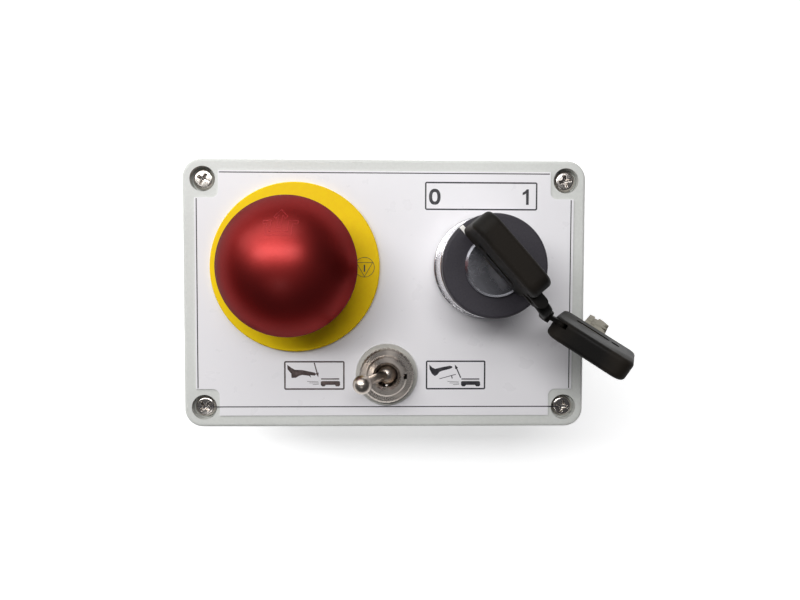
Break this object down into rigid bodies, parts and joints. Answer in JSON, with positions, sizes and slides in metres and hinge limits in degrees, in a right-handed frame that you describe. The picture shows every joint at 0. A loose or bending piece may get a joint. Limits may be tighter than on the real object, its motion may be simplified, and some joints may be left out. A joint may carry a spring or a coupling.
{
  "type": "key selector control station",
  "caption": "Wall-mounted control box with a push-pull stop button, a key-operated two-position selector with a linked spare key, and a toggle switch.",
  "frame": {"origin": "centre of the enclosure's flat back face", "axes": "+X along the enclosure's long side, +Y up the front plate, +Z out of the lid"},
  "size_m": [0.1306, 0.0814, 0.1],
  "materials": {
    "housing_grey": "satin",
    "seal_black": "matte",
    "stainless": "brushed",
    "label_white": "gloss",
    "signal_yellow": "semi-gloss",
    "black_plastic": "matte",
    "spring_steel": "bright",
    "white_nylon": "matte",
    "red_anodised": "satin metallic",
    "block_plastic": "matte",
    "contact_brass": "bright",
    "zinc_steel": "zinc",
    "bezel_chrome": "polished",
    "knob_black": "fine grain",
    "marker_white": "painted",
    "lock_chrome": "satin",
    "bow_black": "satin",
    "nickel_silver": "brushed",
    "washer_clear": "translucent",
    "nickel": "nickel plated"
  },
  "bodies": {
    "enclosure": {"enclosure_base": "housing_grey", "enclosure_lid": "housing_grey", "lid_gasket": "seal_black", "lid_screws": "stainless", "cable_grommet": "seal_black", "label_plate": "label_white", "estop_legend_disc": "signal_yellow", "estop_panel_seal": "seal_black", "estop_collar": "black_plastic", "estop_lock_nut": "black_plastic", "estop_mount_collar": "black_plastic", "estop_latch_ring": "spring_steel", "estop_spring": "spring_steel", "estop_contact_housing": "block_plastic", "estop_fixed_contacts": "contact_brass", "estop_terminal_screws": "zinc_steel", "estop_contact_spring": "spring_steel", "key_panel_seal": "seal_black", "key_bezel": "bezel_chrome", "key_sleeve": "black_plastic", "key_lock_nut": "black_plastic", "key_mount_collar": "black_plastic", "key_contact_housing": "block_plastic", "key_fixed_contacts": "contact_brass", "key_terminal_screws": "zinc_steel", "key_contact_spring": "spring_steel", "toggle_washer": "washer_clear", "toggle_ring_nut": "nickel", "toggle_bushing": "nickel", "toggle_pivot_pin": "zinc_steel", "toggle_lock_washer": "zinc_steel", "toggle_inner_nut": "nickel", "toggle_body": "black_plastic", "toggle_terminals": "contact_brass", "toggle_rocker_pin": "zinc_steel"},
    "estop_button": {"estop_head": "red_anodised", "estop_stem": "white_nylon"},
    "estop_contact": {"estop_contact_pusher": "white_nylon", "estop_contact_bridge": "contact_brass"},
    "key_rotor": {"key_knob_ring": "knob_black", "key_marker": "marker_white", "lock_cylinder": "lock_chrome", "lock_wafers": "contact_brass", "key_cam": "white_nylon"},
    "key_contact": {"key_contact_pusher": "white_nylon", "key_contact_bridge": "contact_brass"},
    "key_1": {"key_1_bow": "bow_black", "key_1_blade": "nickel_silver"},
    "key_strap": {"key_link": "bow_black"},
    "key_2": {"key_2_bow": "bow_black", "key_2_blade": "nickel_silver"},
    "toggle_arm": {"toggle_lever": "nickel", "toggle_plunger": "white_nylon"},
    "toggle_tumbler": {"toggle_rocker": "contact_brass"}
  },
  "joints": [
    {"name": "estop_push", "type": "slide", "parent": "enclosure", "child": "estop_button", "axis": [0, 0, -1], "range_m": [0, 0.006], "deforming": ["estop_spring"]},
    {"name": "estop_contact_push", "type": "slide", "parent": "enclosure", "child": "estop_contact", "axis": [0, 0, -1], "range_m": [0, 0.006], "deforming": ["estop_contact_spring"]},
    {"name": "key_turn", "type": "hinge", "parent": "enclosure", "child": "key_rotor", "pos_m": [0.0293, 0.0082, 0.055], "axis": [0, 0, 1], "range_deg": [-90, 0]},
    {"name": "key_contact_push", "type": "slide", "parent": "enclosure", "child": "key_contact", "axis": [0, 0, -1], "range_m": [0, 0.0024], "deforming": ["key_contact_spring"]},
    {"name": "key_withdraw", "type": "slide", "parent": "key_rotor", "child": "key_1", "axis": [0, 0, 1], "range_m": [0, 0.027]},
    {"name": "link_swivel", "type": "hinge", "parent": "key_1", "child": "key_strap", "pos_m": [0.03702, -0.00059, 0.0922], "axis": [0, 0, 1], "range_deg": [0, 72]},
    {"name": "key_2_swing", "type": "hinge", "parent": "key_strap", "child": "key_2", "pos_m": [0.04587, -0.00658, 0.07986], "axis": [-0.4727, -0.8499, -0.233], "range_deg": [0, 45]},
    {"name": "toggle_throw", "type": "hinge", "parent": "enclosure", "child": "toggle_arm", "pos_m": [0.0005, -0.024, 0.055], "axis": [0, 1, 0], "range_deg": [0, 40]},
    {"name": "toggle_rock", "type": "hinge", "parent": "enclosure", "child": "toggle_tumbler", "pos_m": [0.0005, -0.024, 0.038], "axis": [0, 1, 0], "range_deg": [-24, 0]}
  ],
  "couplings": [
    {"joint": "estop_contact_push", "follows": "estop_push", "ratio": 1},
    {"joint": "key_contact_push", "follows": "key_turn", "m_per_rad": -0.0015279},
    {"joint": "link_swivel", "follows": "key_turn", "ratio": -0.8},
    {"joint": "key_2_swing", "follows": "key_turn", "ratio": -0.5},
    {"joint": "toggle_rock", "follows": "toggle_throw", "ratio": -0.6}
  ]
}
